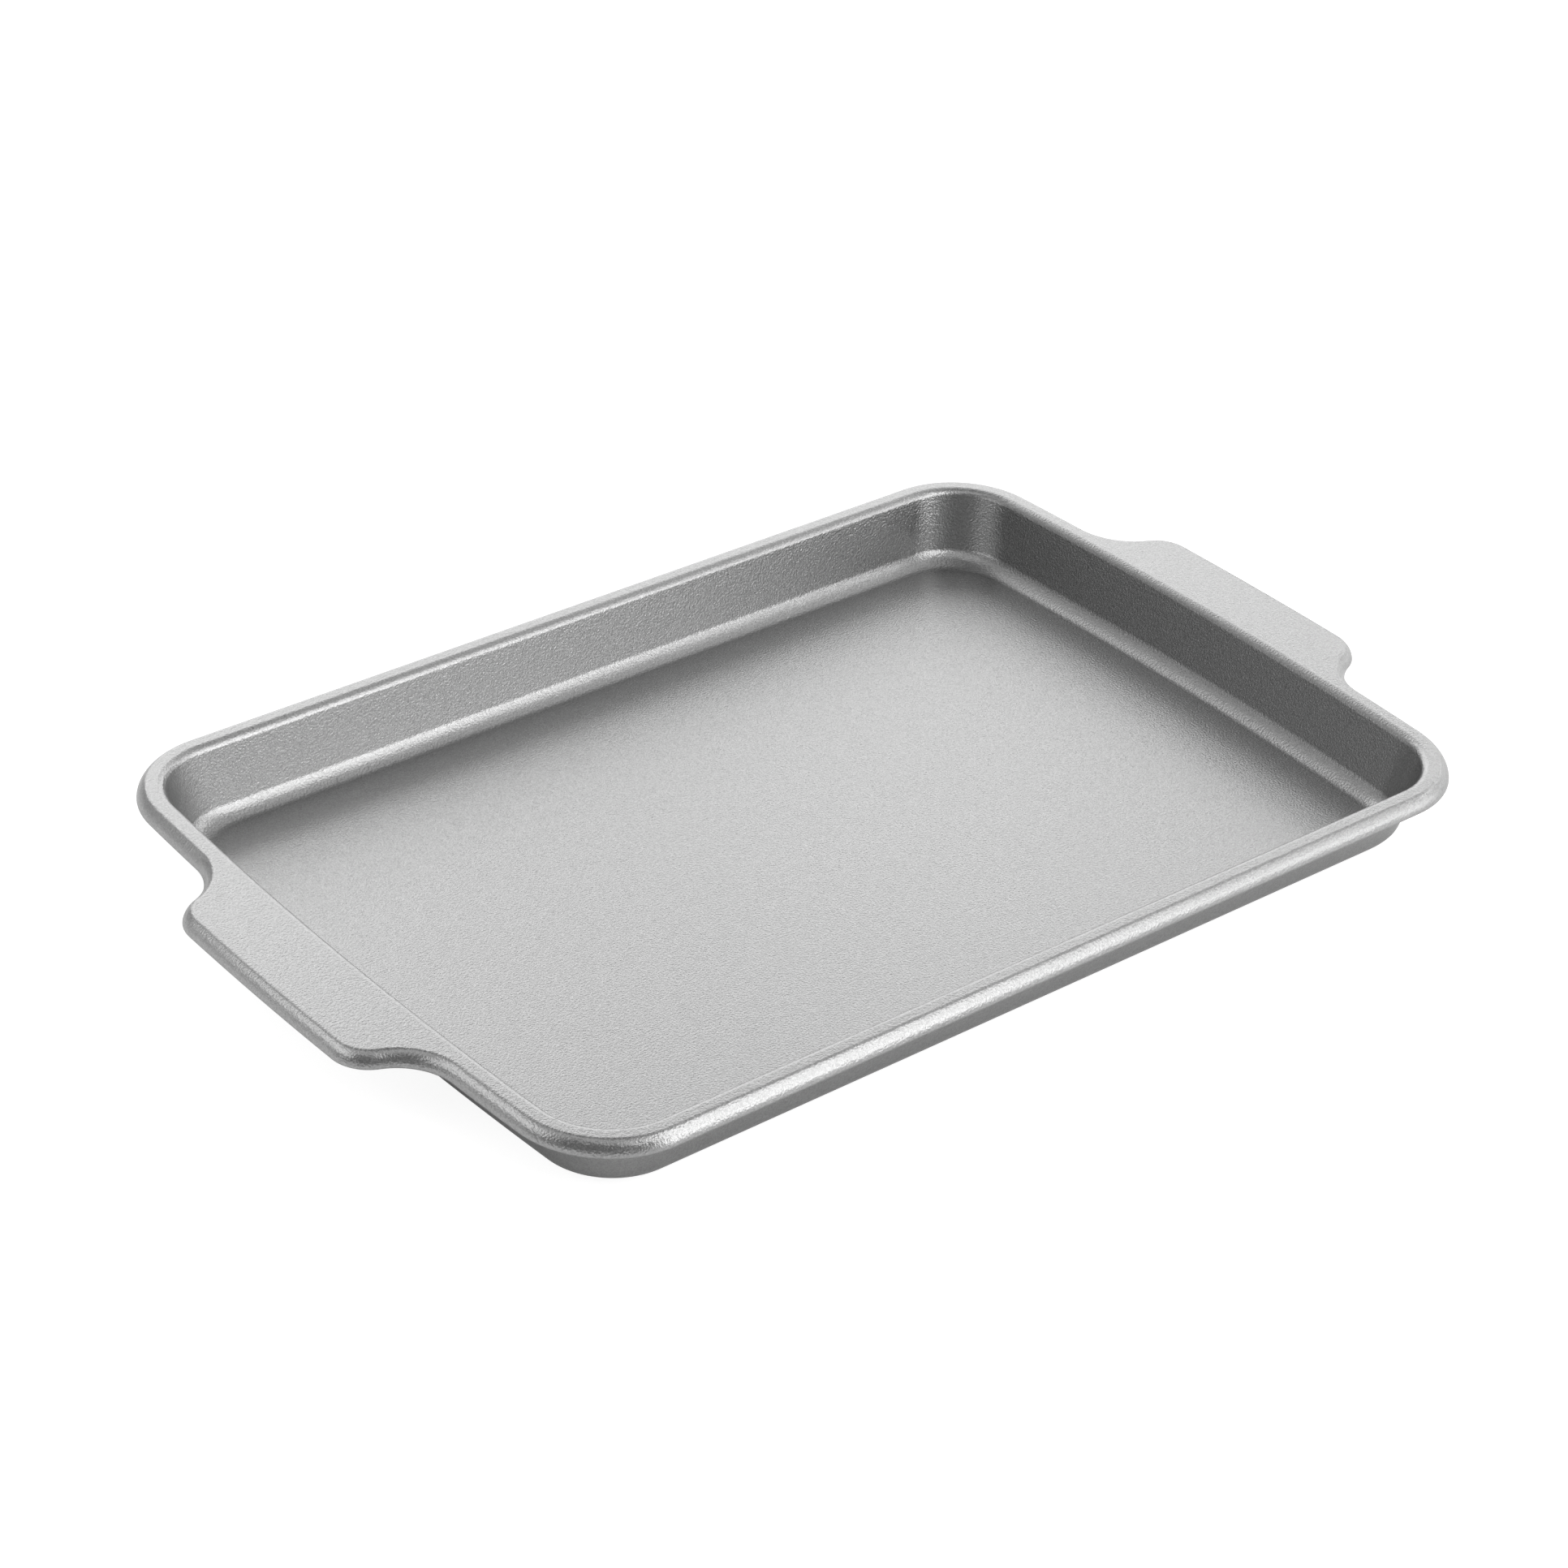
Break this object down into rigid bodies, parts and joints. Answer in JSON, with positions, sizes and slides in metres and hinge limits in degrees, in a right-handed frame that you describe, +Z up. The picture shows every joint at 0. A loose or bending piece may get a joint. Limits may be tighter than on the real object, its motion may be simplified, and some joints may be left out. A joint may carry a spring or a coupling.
{
  "type": "cookie sheet",
  "caption": "Rectangular coated steel baking sheet with low drafted walls, a wire-stiffened rolled rim and a flat handle tab at each short end.",
  "frame": {"origin": "under the middle of the floor, on the plane that the sheet rests on", "axes": "+X along the length towards one handle tab, +Y across the width, +Z up out of the tray"},
  "size_m": [0.4562, 0.286, 0.0291],
  "materials": {
    "coated_steel": "satin silver-grey non-stick coating with a fine sparkle",
    "wire_steel": "drawn steel wire, bare"
  },
  "bodies": {
    "root": {"pan_shell": "coated_steel", "rim_wire": "wire_steel"}
  },
  "joints": []
}
